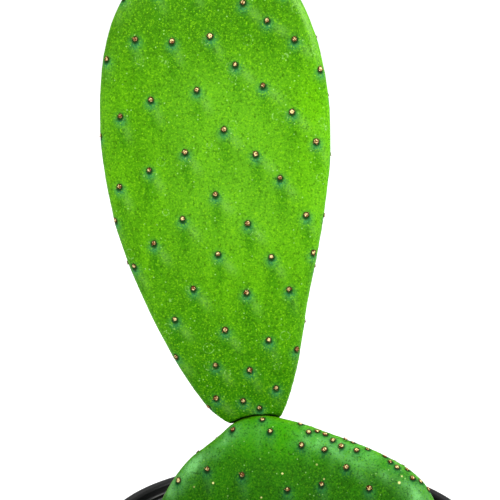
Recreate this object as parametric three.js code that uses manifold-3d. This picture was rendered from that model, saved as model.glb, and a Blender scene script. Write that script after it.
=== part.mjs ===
// A potted paddle cactus: a round black nursery pot filled with potting soil, a broad lower pad rooted in
// the soil, and a tall upper pad grown from the lower pad's top edge. The roots lie hidden in the soil.
// Millimetres and degrees, +Z up, -Y is the front, and the origin is the centre of the pot's foot.

import * as THREE from "three";
import { mergeVertices } from "three/addons/utils/BufferGeometryUtils.js";
import Module from "manifold-3d";

// ---------- Driving dimensions ----------

const CLEARANCE = 0.3; // between pieces that touch

const LOWER = {
  width: 137,
  above: 68.8, // from the soil line to its highest point, measured along the pad
  below: 59, // from the soil line to its buried end
  offCentre: 2.5, // its middle is this far to the right of the pot's axis
  thickness: 21,
  rimThickness: 13,
  rimWidth: 9, // how far in from the outline the edge is rounded
  footThickness: 11, // what the edge thins to at the buried end
  footLength: 30, // over which it thins
  bow: 2.5, // how far its middle stands in front of its ends
  yaw: 14, // the face turns to the left
  lean: 8, // the top goes back
};

const UPPER = {
  width: 101,
  length: 218,
  thickness: 19,
  rimThickness: 13,
  rimWidth: 8,
  footThickness: 8,
  footLength: 45,
  bow: 3.5,
  yaw: 4,
  lean: 4,
  tilt: 4.6, // the top goes to the left
};

// Where the upper pad grows from: this far left of the pot's axis, under the lower pad's top and behind the
// middle of its thickness.
const JOINT = { left: 18, sink: 10.4, back: 4.5 };

const POT = {
  height: 132,
  wall: 1.2,
  floor: 1.5,
  taper: 8.5, // degrees from the vertical
  mouthClearance: 6.5, // from the lower pad's widest point to the inside of the mouth
  lip: 3.8, // how far the rolled lip stands out from the wall
  skirt: 11, // how far the lip hangs down outside
  footRise: 4, // the floor stands this far above the foot ring
  footWidth: 9,
};

const RIB = { count: 4, first: 4, pitch: 2.1, height: 0.5 }; // moulded rings inside, under the lip
const DRAIN = { count: 8, radius: 4.5, inset: 9 }; // in a circle inside the foot ring, and one in the middle
const SOIL = { headspace: 20, dome: 3 }; // the soil line under the lip's top, and the rise to the middle

const ROOT = {
  crownRadius: 9,
  crownOverlap: 4, // how far the crown reaches up past the pad's buried end, which cuts it
  count: 6,
  thick: 2.4, // radius at the crown
  thin: 0.9, // radius at the tip
  floorClearance: 9, // from the tips to the pot's floor
  wallClearance: 13, // from the tips to the pot's wall
};

// Outlines, going round from the buried or joined end, each point as [share of half the width, share of
// the height]. The lower pad's heights above and below the soil line are shares of `above` and `below`.
const LOWER_OUTLINE = [
  [0.0, -1.0],
  [0.56, -0.8],
  [0.9, -0.33],
  [0.965, 0.25],
  [0.85, 0.63],
  [0.58, 0.8],
  [0.2, 0.92],
  [-0.08, 0.985],
  [-0.29, 1.0],
  [-0.44, 0.94],
  [-0.55, 0.82],
  [-0.735, 0.665],
  [-0.91, 0.37],
  [-1.0, 0.08],
  [-0.9, -0.38],
  [-0.56, -0.8],
];
const UPPER_OUTLINE = [
  [0.0, 0.0],
  [0.22, 0.03],
  [0.38, 0.115],
  [0.54, 0.27],
  [0.73, 0.44],
  [0.84, 0.6],
  [0.81, 0.76],
  [0.645, 0.885],
  [0.33, 0.97],
  [-0.07, 1.0],
  [-0.54, 0.97],
  [-0.91, 0.88],
  [-1.085, 0.755],
  [-1.135, 0.6],
  [-1.075, 0.46],
  [-0.925, 0.325],
  [-0.66, 0.17],
  [-0.37, 0.055],
];

// ---------- Fineness ----------

const ROUND_STEPS = 72; // faces round the pot
const OUTLINE_STEPS = 64; // faces round a pad
const EDGE_RINGS = 4;
const FACE_RINGS = 4;

// ---------- Worked-out places ----------

const rad = THREE.MathUtils.degToRad;
const mouthRadius = LOWER.width / 2 + LOWER.offCentre + POT.mouthClearance;
const wallOutside = (z) => mouthRadius + POT.wall - (POT.height - z) * Math.tan(rad(POT.taper));
const wallInside = (z) => wallOutside(z) - POT.wall;
const floorTop = POT.footRise + POT.floor;
const soilLine = POT.height - SOIL.headspace;

const wasm = await Module();
wasm.setup();

// ---------- Shared tools ----------

/** A closed geometry as a manifold-3d solid. */
function solidOf(geometry) {
  const bare = geometry.clone();
  bare.deleteAttribute("normal");
  bare.deleteAttribute("uv");
  const merged = mergeVertices(bare, 1e-4);
  return new wasm.Manifold(
    new wasm.Mesh({
      numProp: 3,
      vertProperties: new Float32Array(merged.attributes.position.array),
      triVerts: new Uint32Array(merged.index.array),
    }),
  );
}

/** The biggest body of a solid that a cut has left in several. */
function largest(solid) {
  const bodies = solid.decompose();
  bodies.sort((a, b) => b.volume() - a.volume());
  return bodies[0];
}

/** A manifold-3d solid as a three.js geometry. */
function geometryOf(solid) {
  const mesh = solid.getMesh();
  const places = new Float32Array(mesh.numVert * 3);
  for (let i = 0; i < mesh.numVert; i++) {
    const from = i * mesh.numProp;
    places.set(mesh.vertProperties.subarray(from, from + 3), i * 3);
  }
  const geometry = new THREE.BufferGeometry();
  geometry.setAttribute("position", new THREE.BufferAttribute(places, 3));
  geometry.setIndex(new THREE.BufferAttribute(new Uint32Array(mesh.triVerts), 1));
  geometry.computeVertexNormals();
  return geometry;
}

/** A profile of [radius, height] points spun round the Z axis. */
function spun(profile) {
  const points = profile.map(([r, z]) => new THREE.Vector2(r, z));
  return new THREE.LatheGeometry(points, ROUND_STEPS).rotateX(Math.PI / 2);
}

/** Moves every vertex of a closed shape outwards, for the space that a neighbour must leave round it. */
function grown(geometry, distance) {
  const shape = geometry.clone();
  shape.computeVertexNormals();
  const { position, normal } = shape.attributes;
  for (let i = 0; i < position.count; i++) {
    position.setXYZ(
      i,
      position.getX(i) + normal.getX(i) * distance,
      position.getY(i) + normal.getY(i) * distance,
      position.getZ(i) + normal.getZ(i) * distance,
    );
  }
  return shape;
}

/** Joins closed loops of equal length into one closed skin, with a point at each end. */
function skinOf(loops, firstPoint, lastPoint) {
  const places = [...loops.flat(), firstPoint, lastPoint].flatMap((p) => [p.x, p.y, p.z]);
  const steps = loops[0].length;
  const first = loops.length * steps;
  const faces = [];
  for (let i = 0; i < steps; i++) {
    const next = (i + 1) % steps;
    faces.push(first, next, i);
    for (let row = 0; row < loops.length - 1; row++) {
      const a = row * steps;
      const b = a + steps;
      faces.push(a + i, a + next, b + next, a + i, b + next, b + i);
    }
    const last = (loops.length - 1) * steps;
    faces.push(last + i, last + next, first + 1);
  }
  const geometry = new THREE.BufferGeometry();
  geometry.setAttribute("position", new THREE.Float32BufferAttribute(places, 3));
  geometry.setIndex(faces);
  return geometry;
}

// ---------- Pads ----------

/**
 * A flat fleshy pad in its own frame: X to its right, Y along its length and Z out of its front face.
 * The edge is a rounded band of even width, the two faces swell from it towards the middle, and the whole
 * thins towards its foot.
 */
function padGeometry(pad, outlinePoints, bottom, top) {
  const outline = new THREE.CatmullRomCurve3(
    outlinePoints.map(([x, y]) => new THREE.Vector3(x, y, 0)),
    true,
    "centripetal",
  );
  const edge = outline.getSpacedPoints(OUTLINE_STEPS).slice(0, OUTLINE_STEPS);
  const centre = edge.reduce((sum, p) => sum.add(p), new THREE.Vector3()).divideScalar(edge.length);
  const bandAngle = rad(80); // the band stops short of level, where the face's own swell takes over
  const bandHalf = pad.rimThickness / 2;
  const swell = pad.thickness / 2 - bandHalf * Math.sin(bandAngle);

  const inward = edge.map((p, i) => {
    const along = edge[(i + 1) % edge.length].clone().sub(edge.at(i - 1));
    return new THREE.Vector3(-along.y, along.x, 0).normalize();
  });
  const bowAt = (y) => {
    const share = (y - bottom) / (top - bottom);
    return pad.bow * 4 * share * (1 - share);
  };
  const footShare = pad.footThickness / pad.rimThickness;
  const thinning = (y) => {
    const share = THREE.MathUtils.smoothstep(y, bottom, bottom + pad.footLength);
    return footShare + (1 - footShare) * share;
  };
  const ringAt = (insetOf, half) => edge.map((_, i) => {
    const p = insetOf(i);
    return new THREE.Vector3(p.x, p.y, bowAt(p.y) + half * thinning(p.y));
  });
  const bandInset = (i, angle) =>
    edge[i].clone().addScaledVector(inward[i], pad.rimWidth * (1 - Math.cos(angle)));

  const front = [];
  const back = [];
  for (let ring = 1; ring <= EDGE_RINGS; ring++) {
    const angle = (bandAngle * ring) / EDGE_RINGS;
    const half = bandHalf * Math.sin(angle);
    front.push(ringAt((i) => bandInset(i, angle), half));
    back.push(ringAt((i) => bandInset(i, angle), -half));
  }
  for (let ring = 1; ring < FACE_RINGS; ring++) {
    const share = ring / FACE_RINGS;
    const half = bandHalf * Math.sin(bandAngle) + swell * (1 - (1 - share) ** 2);
    const inset = (i) => bandInset(i, bandAngle).lerp(centre, share);
    front.push(ringAt(inset, half));
    back.push(ringAt(inset, -half));
  }
  const middle = (side) =>
    new THREE.Vector3(centre.x, centre.y, bowAt(centre.y) + (side * pad.thickness) / 2);
  const rim = ringAt((i) => edge[i].clone(), 0);
  return skinOf([...back.reverse(), rim, ...front], middle(-1), middle(1));
}

/** The place and turn of a pad's own frame: yaw to the left, then lean back, then tilt to the left. */
function padFrame({ yaw, lean, tilt = 0 }, at) {
  return new THREE.Matrix4()
    .makeRotationZ(-rad(yaw))
    .multiply(new THREE.Matrix4().makeRotationX(rad(90 - lean)))
    .multiply(new THREE.Matrix4().makeRotationZ(rad(tilt)))
    .setPosition(at);
}

const lowerPoints = LOWER_OUTLINE.map(([x, y]) => [
  LOWER.offCentre + (x * LOWER.width) / 2,
  y * (y > 0 ? LOWER.above : LOWER.below),
]);
const upperPoints = UPPER_OUTLINE.map(([x, y]) => [(x * UPPER.width) / 2, y * UPPER.length]);

const lowerFrame = padFrame(LOWER, new THREE.Vector3(0, 0, soilLine));
const jointPlace = new THREE.Vector3(-JOINT.left, LOWER.above - JOINT.sink, -JOINT.back)
  .applyMatrix4(lowerFrame);
const upperFrame = padFrame(UPPER, jointPlace);

const lowerGeometry = padGeometry(LOWER, lowerPoints, -LOWER.below, LOWER.above);
const lowerSpace = grown(lowerGeometry, CLEARANCE);

function lowerPad() {
  return { geometry: lowerGeometry, frame: lowerFrame };
}

/** The upper pad, hollowed at its foot to sit astride the lower pad's top edge. */
function upperPad() {
  const toUpper = upperFrame.clone().invert().multiply(lowerFrame);
  const seat = solidOf(lowerSpace.clone().applyMatrix4(toUpper));
  const whole = solidOf(padGeometry(UPPER, upperPoints, 0, UPPER.length));
  return { geometry: geometryOf(largest(whole.subtract(seat))), frame: upperFrame };
}

// ---------- Roots ----------

/** A tapering root along a curve, closed at both ends. */
function rootGeometry(curve, thick, thin) {
  const stations = 9;
  const sides = 8;
  const frames = curve.computeFrenetFrames(stations, false);
  const loops = [];
  for (let i = 0; i <= stations; i++) {
    const share = i / stations;
    const middle = curve.getPointAt(share);
    const radius = thick + (thin - thick) * share;
    const loop = [];
    for (let side = 0; side < sides; side++) {
      const angle = (2 * Math.PI * side) / sides;
      loop.push(
        middle
          .clone()
          .addScaledVector(frames.normals[i], radius * Math.cos(angle))
          .addScaledVector(frames.binormals[i], radius * Math.sin(angle)),
      );
    }
    loops.push(loop);
  }
  return skinOf(loops, curve.getPointAt(0), curve.getPointAt(1));
}

/** The crown under the pad's buried end, with the main roots, made fatter by `extra` all round. */
function rootSolid(extra) {
  const end = new THREE.Vector3(LOWER.offCentre, -LOWER.below, 0).applyMatrix4(lowerFrame);
  const crown = end.clone().setZ(end.z + ROOT.crownOverlap - ROOT.crownRadius);
  const tipHeight = floorTop + ROOT.floorClearance;
  const reach = wallInside(tipHeight) - ROOT.wallClearance + extra;
  const ball = new THREE.SphereGeometry(ROOT.crownRadius + extra, 16, 12);
  let solid = solidOf(ball.translate(crown.x, crown.y, crown.z));
  for (let i = 0; i < ROOT.count; i++) {
    const angle = (2 * Math.PI * (i + 0.25)) / ROOT.count;
    const tip = new THREE.Vector3(reach * Math.cos(angle), reach * Math.sin(angle), tipHeight);
    const shoulder = crown.clone().lerp(tip, 0.45).setZ(crown.z);
    const route = new THREE.CatmullRomCurve3([crown, shoulder, tip]);
    solid = solid.add(solidOf(rootGeometry(route, ROOT.thick + extra, ROOT.thin + extra)));
  }
  return solid;
}

function roots() {
  const padSpace = solidOf(lowerSpace.clone().applyMatrix4(lowerFrame));
  return { geometry: geometryOf(largest(rootSolid(0).subtract(padSpace))) };
}

// ---------- Soil ----------

/** The root ball: it fills the pot to the soil line and is open where the pad and the roots are. */
function soil() {
  const low = floorTop + CLEARANCE;
  const plug = spun([
    [0, low],
    [wallInside(low) - CLEARANCE, low],
    [wallInside(soilLine) - CLEARANCE, soilLine],
    [wallInside(soilLine) * 0.6, soilLine + SOIL.dome * 0.7],
    [wallInside(soilLine) * 0.3, soilLine + SOIL.dome],
    [0, soilLine + SOIL.dome],
  ]);
  const padSpace = solidOf(lowerSpace.clone().applyMatrix4(lowerFrame));
  const body = solidOf(plug).subtract(padSpace).subtract(rootSolid(CLEARANCE));
  return { geometry: geometryOf(largest(body)) };
}

// ---------- Pot ----------

/** A thin tapered wall with a rolled lip, rings inside its mouth, a foot ring and drain holes. */
function pot() {
  const top = POT.height;
  const round = POT.wall; // how far the lip's corners are rounded
  const lipRadius = mouthRadius + POT.wall + POT.lip;
  const footOut = wallOutside(0);
  const footIn = footOut - POT.footWidth;
  const profile = [
    [0, POT.footRise],
    [footIn - POT.footRise / 2, POT.footRise],
    [footIn, 0],
    [footOut, 0],
    [wallOutside(top - POT.wall - round), top - POT.wall - round],
    [wallOutside(top) + round, top - POT.wall],
    [lipRadius - POT.wall, top - POT.wall],
    [lipRadius - POT.wall, top - POT.skirt],
    [lipRadius, top - POT.skirt],
    [lipRadius, top - round],
    [lipRadius - round * 0.3, top - round * 0.3],
    [lipRadius - round, top],
    [mouthRadius + round, top],
    [mouthRadius + round * 0.3, top - round * 0.3],
    [mouthRadius, top - round],
  ];
  for (let i = 0; i < RIB.count; i++) {
    const z = top - RIB.first - i * RIB.pitch;
    profile.push(
      [wallInside(z + RIB.height), z + RIB.height],
      [wallInside(z) - RIB.height, z],
      [wallInside(z - RIB.height), z - RIB.height],
    );
  }
  profile.push([wallInside(floorTop), floorTop], [0, floorTop]);

  let body = solidOf(spun(profile));
  const drill = new THREE.CylinderGeometry(DRAIN.radius, DRAIN.radius, 4 * floorTop, 20);
  drill.rotateX(Math.PI / 2);
  body = body.subtract(solidOf(drill));
  const circle = footIn - DRAIN.inset - DRAIN.radius;
  for (let i = 0; i < DRAIN.count; i++) {
    const angle = (2 * Math.PI * i) / DRAIN.count;
    const hole = drill.clone().translate(circle * Math.cos(angle), circle * Math.sin(angle), 0);
    body = body.subtract(solidOf(hole));
  }
  return { geometry: geometryOf(body) };
}

// ---------- Materials and assembly ----------

const finish = (color, roughness) => new THREE.MeshStandardMaterial({ color, roughness, metalness: 0 });
const blackPlastic = finish(0x16181a, 0.45);
const darkSoil = finish(0x3a2a1e, 0.95);
const paleRoot = finish(0xb99f78, 0.8);
const deepGreenSkin = finish(0x387c18, 0.5);
const brightGreenSkin = finish(0x62ac1e, 0.45);

const pieces = [
  ["nursery_pot", pot(), blackPlastic],
  ["potting_soil", soil(), darkSoil],
  ["roots", roots(), paleRoot],
  ["lower_pad", lowerPad(), deepGreenSkin],
  ["upper_pad", upperPad(), brightGreenSkin],
];

const cactus = new THREE.Group();
for (const [name, { geometry, frame }, material] of pieces) {
  const mesh = new THREE.Mesh(geometry, material);
  mesh.name = name;
  if (frame) mesh.applyMatrix4(frame);
  cactus.add(mesh);
}

export default cactus;
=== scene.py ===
"""Looks for a potted paddle cactus: two fleshy pads with areoles, a black nursery pot and its potting mix.

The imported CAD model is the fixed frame. Metres, +Z up, and the pads face -Y.
"""

import math
import random

import bpy
import numpy as np
from bpy.props import FloatProperty, FloatVectorProperty, IntProperty, PointerProperty
from mathutils import Matrix, Vector
from mathutils.bvhtree import BVHTree
from mathutils.kdtree import KDTree


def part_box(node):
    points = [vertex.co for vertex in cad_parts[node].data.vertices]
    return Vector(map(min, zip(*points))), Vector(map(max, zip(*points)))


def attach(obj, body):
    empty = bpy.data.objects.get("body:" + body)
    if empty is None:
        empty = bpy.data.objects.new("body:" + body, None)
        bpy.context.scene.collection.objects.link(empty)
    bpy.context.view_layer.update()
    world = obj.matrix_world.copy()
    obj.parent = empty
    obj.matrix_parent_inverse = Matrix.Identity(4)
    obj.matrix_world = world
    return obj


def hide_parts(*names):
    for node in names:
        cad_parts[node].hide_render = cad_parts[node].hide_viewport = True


bl_info = {
    "name": "Potted Paddle Cactus",
    "version": (1, 0, 0),
    "blender": (4, 5, 0),
    "location": "3D View > Sidebar > Cactus",
    "description": "Models a two-padded paddle cactus in a nursery pot of soil, and a studio stage for it",
    "category": "Object",
}

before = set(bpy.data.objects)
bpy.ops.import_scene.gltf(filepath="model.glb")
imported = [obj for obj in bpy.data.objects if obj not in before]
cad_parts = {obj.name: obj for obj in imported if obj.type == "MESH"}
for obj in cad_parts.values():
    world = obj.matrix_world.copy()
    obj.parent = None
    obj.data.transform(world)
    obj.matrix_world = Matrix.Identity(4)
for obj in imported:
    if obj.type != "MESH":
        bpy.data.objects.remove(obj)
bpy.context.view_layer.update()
POT_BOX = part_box("nursery_pot")
SOIL_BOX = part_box("potting_soil")
MM = 0.001

# How each pad stands, as in the CAD model: yaw to the left, lean back and tilt to the left, in degrees.
LOWER_STANCE = (14.0, 8.0, 0.0)
UPPER_STANCE = (4.0, 4.0, 4.6)
SOIL_LINE = 112.0  # mm over the foot
JOINT = (-18.0, 58.4, -4.5)  # mm in the lower pad's own frame, where the upper pad grows

AREOLE_SPACING = 0.0036  # two areoles never stand closer
CREASE_CLEARANCE = 0.0022  # from an areole to the other pad
LITTER_CLEARANCE = 0.0035  # from a loose chip or grain to the lower pad
CROWDED_SHARE = 0.26  # of the usual spacing, where a rim's areoles crowd
WAVE_COUNT = 14  # long waves summed in a pad's skin
BRISTLE_RADIUS = 0.00011
DRAIN_RADIUS = 0.0045

# Rows of areoles on each pad's face, in mm on its plane, from the top of a row down. The back face has its
# areoles half way between these. What falls outside the pad's outline is left out.
UPPER_ROWS = (
    ((-53, 102), (-46, 81), (-30, 57), (-15, 36), (-4, 18)),
    ((-56, 139), (-50, 117), (-37, 92), (-21, 71), (-9, 51), (0, 32), (3, 14)),
    ((-50, 172), (-47, 147), (-36, 124), (-23, 102), (-9, 85), (2, 67), (9, 46), (11, 23)),
    ((-37, 204), (-38, 180), (-33, 154), (-20, 130), (-8, 112), (5, 98), (14, 83), (20, 67), (21, 40)),
    ((-27, 200), (-22, 178), (-13, 156), (-2, 139), (10, 128), (20, 116), (29, 100), (31, 82)),
    ((-11, 201), (-5, 179), (4, 166), (15, 157), (27, 144), (36, 131), (40, 114)),
    ((-2, 208), (9, 192), (19, 184), (30, 175), (40, 161)),
    ((14, 207), (27, 195), (37, 185)),
    ((-32, 40), (-16, 20)),
)
LOWER_ROWS = (
    ((-26, 62), (-9, 63), (5, 59), (16, 57), (26, 51)),
    ((14, 63), (22, 59), (29, 58), (42, 54), (54, 47)),
    ((-50, 38), (-37, 44), (-20, 44), (0, 39), (15, 42), (36, 42)),
    ((-60, 20), (-42, 24), (-24, 22), (-4, 20), (18, 23), (40, 21), (62, 16)),
    ((-50, 6), (-30, 5), (-10, 6), (12, 4), (34, 6), (55, 4)),
)


# ---------- What a user would change ----------


class CactusPads(bpy.types.PropertyGroup):
    """Sizes of the pads' skin relief, in metres."""

    grain: FloatProperty(
        name="Grain", description="Edge of the skin mesh's faces", default=0.00105, unit="LENGTH"
    )
    swelling: FloatProperty(
        name="Swelling", description="Height of the swelling under an areole", default=0.0009, unit="LENGTH"
    )
    hollow: FloatProperty(
        name="Hollow", description="Depth of the hollow an areole sits in", default=0.0006, unit="LENGTH"
    )
    waviness: FloatProperty(
        name="Waviness", description="Height of the slow waves in the skin", default=0.0007, unit="LENGTH"
    )
    upper_green: FloatVectorProperty(
        name="Upper green", description="Main colour of the upper pad", subtype="COLOR", size=3,
        default=(0.092, 0.345, 0.002),
    )
    lower_green: FloatVectorProperty(
        name="Lower green", description="Main colour of the lower pad", subtype="COLOR", size=3,
        default=(0.024, 0.160, 0.003),
    )


class CactusAreoles(bpy.types.PropertyGroup):
    """Sizes of an areole's felt and bristles, in metres."""

    cushion: FloatProperty(
        name="Cushion", description="Radius of the felt cushion", default=0.00125, unit="LENGTH"
    )
    bristle: FloatProperty(name="Bristle", description="Length of a bristle", default=0.0013, unit="LENGTH")
    bristles: IntProperty(name="Bristles", description="Bristles in an areole", default=9, min=0)
    lower_step: FloatProperty(
        name="Lower step", description="Areole spacing along the lower rim", default=0.019, unit="LENGTH"
    )
    upper_step: FloatProperty(
        name="Upper step", description="Areole spacing along the upper rim", default=0.027, unit="LENGTH"
    )
    seed: IntProperty(name="Seed", description="Picks the scatter of sizes and turns", default=7)


class CactusPot(bpy.types.PropertyGroup):
    """Sizes of the pot's moulding, in metres."""

    wall: FloatProperty(name="Wall", description="Thickness of the wall", default=0.0012, unit="LENGTH")
    lip: FloatProperty(name="Lip", description="How far the lip stands out", default=0.0038, unit="LENGTH")
    skirt: FloatProperty(name="Skirt", description="How far the lip hangs down", default=0.011, unit="LENGTH")
    taper: FloatProperty(
        name="Taper", description="Slope of the wall", default=math.radians(8.5), subtype="ANGLE",
        unit="ROTATION",
    )
    rib_pitch: FloatProperty(
        name="Rib pitch", description="Spacing of the inner rings", default=0.0021, unit="LENGTH"
    )
    ribs: IntProperty(name="Ribs", description="Rings inside the mouth", default=4, min=0)
    steps: IntProperty(name="Steps", description="Faces round the pot", default=144, min=12)
    holes: IntProperty(name="Holes", description="Drain holes in the circle", default=8, min=0)


class CactusSoil(bpy.types.PropertyGroup):
    """The potting mix's surface."""

    crumb: FloatProperty(name="Crumb", description="Height of the crumbs", default=0.0022, unit="LENGTH")
    chips: IntProperty(name="Chips", description="Loose chips of bark on top", default=420, min=0)
    grit: IntProperty(name="Grit", description="Pale grains of perlite on top", default=110, min=0)
    seed: IntProperty(name="Seed", description="Picks the scatter", default=11)


class CactusStage(bpy.types.PropertyGroup):
    """Camera and lights."""

    lens: FloatProperty(name="Lens", description="Focal length in mm", default=150.0)
    camera_place: FloatVectorProperty(
        name="Camera", description="Where the camera stands", subtype="TRANSLATION", unit="LENGTH", size=3,
        default=(-0.0172, -0.8555, 0.488),
    )
    camera_pitch: FloatProperty(
        name="Pitch", description="How far the camera looks down", default=math.radians(15.0),
        subtype="ANGLE", unit="ROTATION",
    )
    sky: FloatProperty(name="Sky", description="Brightness of the white surroundings", default=0.45)


# ---------- Selecting and finishing ----------


def to_object_mode():
    if bpy.context.object and bpy.context.object.mode != "OBJECT":
        bpy.ops.object.mode_set(mode="OBJECT")


def only(obj):
    """Selects one object and makes it the active one."""
    to_object_mode()
    bpy.ops.object.select_all(action="DESELECT")
    obj.select_set(True)
    bpy.context.view_layer.objects.active = obj


def named(name):
    """Gives the new primitive its name and returns it."""
    obj = bpy.context.object
    obj.name = name
    obj.data.name = name
    return obj


def apply_all(obj):
    """Applies the modifiers in order, then the object's place."""
    only(obj)
    for modifier in list(obj.modifiers):
        bpy.ops.object.modifier_apply(modifier=modifier.name)
    bpy.ops.object.transform_apply(location=True, rotation=True, scale=True)


def modifier(obj, kind, **settings):
    made = obj.modifiers.new(kind.title(), kind)
    for key, value in settings.items():
        setattr(made, key, value)
    return made


def copy_of_node(node, name):
    """A new object with a merged copy of a CAD node's mesh."""
    obj = bpy.data.objects.new(name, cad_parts[node].data.copy())
    bpy.context.collection.objects.link(obj)
    obj.data.name = name
    obj.data.materials.clear()
    only(obj)
    bpy.ops.object.mode_set(mode="EDIT")
    bpy.ops.mesh.select_all(action="SELECT")
    bpy.ops.mesh.remove_doubles(threshold=1e-5)
    bpy.ops.mesh.tris_convert_to_quads()
    bpy.ops.object.mode_set(mode="OBJECT")
    return obj


def vertices_of(mesh):
    """A mesh's vertex places and normals as arrays."""
    count = len(mesh.vertices)
    places = np.empty(count * 3, np.float32)
    normals = np.empty(count * 3, np.float32)
    mesh.vertices.foreach_get("co", places)
    mesh.vertices.foreach_get("normal", normals)
    return places.reshape(-1, 3).astype(float), normals.reshape(-1, 3).astype(float)


def set_places(mesh, places):
    mesh.vertices.foreach_set("co", places.astype(np.float32).ravel())
    mesh.update()


def set_attribute(mesh, name, values):
    layer = mesh.attributes.new(name, "FLOAT", "POINT")
    layer.data.foreach_set("value", np.asarray(values, np.float32))


def stance(angles, at):
    """The matrix of a pad's own plane: X to its right, Y along it and Z out of its front face."""
    yaw, lean, tilt = (math.radians(angle) for angle in angles)
    turn = Matrix.Rotation(-yaw, 4, "Z") @ Matrix.Rotation(math.pi / 2 - lean, 4, "X")
    return Matrix.Translation(at) @ turn @ Matrix.Rotation(tilt, 4, "Z")


LOWER_PLANE = stance(LOWER_STANCE, Vector((0, 0, SOIL_LINE * MM)))
UPPER_PLANE = stance(UPPER_STANCE, LOWER_PLANE @ (Vector(JOINT) * MM))


# ---------- Materials ----------


class Wire:
    """A node's output that takes part in Python sums."""

    def __init__(self, graph, socket):
        self.graph = graph
        self.socket = socket

    def __add__(self, other):
        return self.graph.math("ADD", self, other)

    def __sub__(self, other):
        return self.graph.math("SUBTRACT", self, other)

    def __rsub__(self, other):
        return self.graph.math("SUBTRACT", other, self)

    def __mul__(self, other):
        return self.graph.math("MULTIPLY", self, other)

    def __pow__(self, other):
        return self.graph.math("POWER", self, other)

    __radd__ = __add__
    __rmul__ = __mul__

    def clamped(self):
        return self.graph.math("MAXIMUM", self.graph.math("MINIMUM", self, 1.0), 0.0)

    def absolute(self):
        return self.graph.math("ABSOLUTE", self)

    def between(self, low, high):
        """0 at low and 1 at high, with a smooth ramp."""
        node = self.graph.add(
            "ShaderNodeMapRange",
            {"interpolation_type": "SMOOTHSTEP"},
            {"Value": self, "From Min": low, "From Max": high},
        )
        return self.graph.out(node)


class Graph:
    """A material's nodes, made by one method and joined by Python sums."""

    def __init__(self, name):
        self.material = bpy.data.materials.new(name)
        self.material.use_nodes = True
        self.tree = self.material.node_tree
        self.tree.nodes.clear()
        self.shader = self.add("ShaderNodeBsdfPrincipled")
        surface = self.add("ShaderNodeOutputMaterial")
        self.tree.links.new(self.shader.outputs[0], surface.inputs["Surface"])
        self.place = self.out(self.add("ShaderNodeTexCoord"), "Object")

    def add(self, kind, settings=None, values=None):
        """Makes a node, sets it, and gives each named input its value or link."""
        node = self.tree.nodes.new(kind)
        for key, value in (settings or {}).items():
            setattr(node, key, value)
        for key, value in (values or {}).items():
            self.feed(node.inputs[key], value)
        return node

    def feed(self, socket, value):
        if isinstance(value, Wire):
            self.tree.links.new(value.socket, socket)
        else:
            socket.default_value = value

    def out(self, node, name=0):
        return Wire(self, node.outputs[name])

    def math(self, operation, *values):
        node = self.add("ShaderNodeMath", {"operation": operation})
        for socket, value in zip(node.inputs, values):
            self.feed(socket, value)
        return self.out(node)

    def mix(self, share, first, second):
        """Mixes two colours; a colour is a Wire or three numbers."""
        node = self.add("ShaderNodeMix", {"data_type": "RGBA"})
        colours = [c if isinstance(c, Wire) else (*c, 1.0) for c in (first, second)]
        for socket, value in zip((node.inputs[0], node.inputs[6], node.inputs[7]), (share, *colours)):
            self.feed(socket, value)
        return self.out(node, 2)

    def stretched(self, scale, turn=(0.0, 0.0, 0.0), shift=(0.0, 0.0, 0.0)):
        node = self.add("ShaderNodeMapping", None, {"Vector": self.place})
        node.inputs["Scale"].default_value = scale
        node.inputs["Rotation"].default_value = turn
        node.inputs["Location"].default_value = shift
        return self.out(node)

    def noise(self, scale, detail=3.0, rough=0.55, at=None):
        values = {"Vector": at or self.place, "Scale": scale, "Detail": detail, "Roughness": rough}
        return self.out(self.add("ShaderNodeTexNoise", None, values), "Fac")

    def cells(self, scale, output="Distance", at=None):
        values = {"Vector": at or self.place, "Scale": scale}
        return self.out(self.add("ShaderNodeTexVoronoi", None, values), output)

    def attribute(self, name):
        return self.out(self.add("ShaderNodeAttribute", {"attribute_name": name}), "Fac")

    def red_of(self, colour):
        return self.out(self.add("ShaderNodeSeparateColor", None, {"Color": colour}), "Red")

    def axis(self, name):
        return self.out(self.add("ShaderNodeSeparateXYZ", None, {"Vector": self.place}), name)

    def bump(self, height, depth, strength=1.0, under=None):
        node = self.add("ShaderNodeBump", None, {"Height": height, "Distance": depth, "Strength": strength})
        if under:
            self.feed(node.inputs["Normal"], under)
        return self.out(node)

    def finish(self, colour, roughness, normal=None, **constants):
        """Feeds the shader: what varies is linked, and what is the same all over is set."""
        self.feed(self.shader.inputs["Base Color"], colour)
        self.feed(self.shader.inputs["Roughness"], roughness)
        if normal:
            self.feed(self.shader.inputs["Normal"], normal)
        for key, value in constants.items():
            self.shader.inputs[key.replace("_", " ")].default_value = value
        return self.material


def speckles(g, scale, share, size):
    """Small round dots in a share of the cells of a fine pattern."""
    near = g.cells(scale)
    pick = g.red_of(g.cells(scale, "Color"))
    return (1.0 - near.between(size * 0.4, size)) * pick.between(1.0 - share, 1.0 - share + 0.02)


def ring_marks(g, scale, share, radius, width, shift):
    """Thin pale rings, as old drops and scuffs leave on waxy skin."""
    at = g.stretched((1.0, 1.0, 1.0), shift=shift)
    near = g.cells(scale, at=at)
    pick = g.red_of(g.cells(scale, "Color", at=at))
    line = 1.0 - (near - radius).absolute().between(0.0, width)
    broken = g.noise(scale * 14.0, 2.0).between(0.45, 0.62)
    return line * broken * pick.between(1.0 - share, 1.0 - share + 0.02)


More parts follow.
